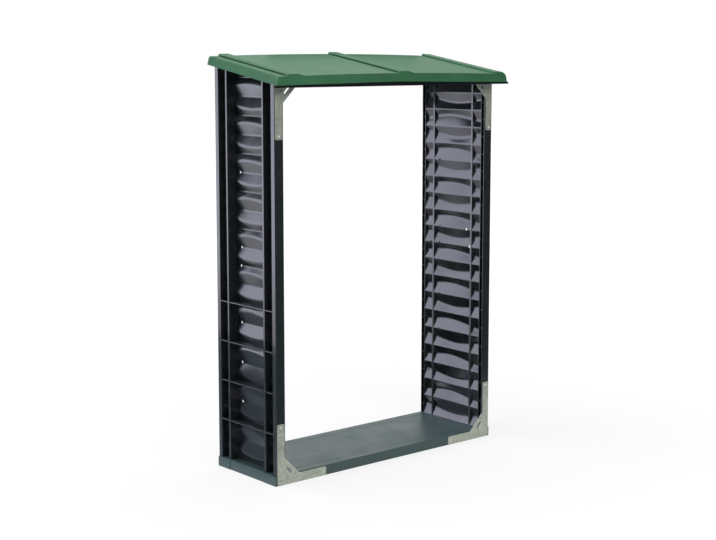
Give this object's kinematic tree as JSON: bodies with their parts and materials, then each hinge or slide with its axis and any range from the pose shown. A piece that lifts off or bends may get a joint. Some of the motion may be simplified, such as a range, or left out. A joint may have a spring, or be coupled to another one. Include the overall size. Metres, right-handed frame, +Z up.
{
  "type": "log store",
  "caption": "Open-fronted plastic log store: waved side panels on a low decked base, steel corner plates and a green roof that falls to the front.",
  "frame": {"origin": "on the ground, under the middle of the roof in plan", "axes": "+Z up, +X to the right as seen from the front, +Y from the open front to the back"},
  "size_m": [1.364, 0.495, 1.8398],
  "materials": {
    "base_plastic": "satin",
    "panel_plastic": "satin",
    "roof_plastic": "satin",
    "galvanised_steel": "galvanised"
  },
  "bodies": {
    "root": {"base_front_sill": "base_plastic", "base_back_sill": "base_plastic", "base_left_rail": "base_plastic", "base_right_rail": "base_plastic", "base_front_left_corner": "base_plastic", "base_front_right_corner": "base_plastic", "base_back_left_corner": "base_plastic", "base_back_right_corner": "base_plastic", "deck_left": "base_plastic", "deck_right": "base_plastic", "deck_bearers": "base_plastic", "left_front_stile": "panel_plastic", "left_back_stile": "panel_plastic", "left_front_rib": "panel_plastic", "left_back_rib": "panel_plastic", "left_waved_panel": "panel_plastic", "left_cross_ribs": "panel_plastic", "right_front_stile": "panel_plastic", "right_back_stile": "panel_plastic", "right_front_rib": "panel_plastic", "right_back_rib": "panel_plastic", "right_waved_panel": "panel_plastic", "right_cross_ribs": "panel_plastic", "front_top_rail": "panel_plastic", "back_top_rail": "panel_plastic", "top_left_plate": "galvanised_steel", "top_right_plate": "galvanised_steel", "bottom_left_plate": "galvanised_steel", "bottom_right_plate": "galvanised_steel", "roof_left_half": "roof_plastic", "roof_right_half": "roof_plastic", "roof_drip_strip": "panel_plastic"}
  },
  "joints": []
}
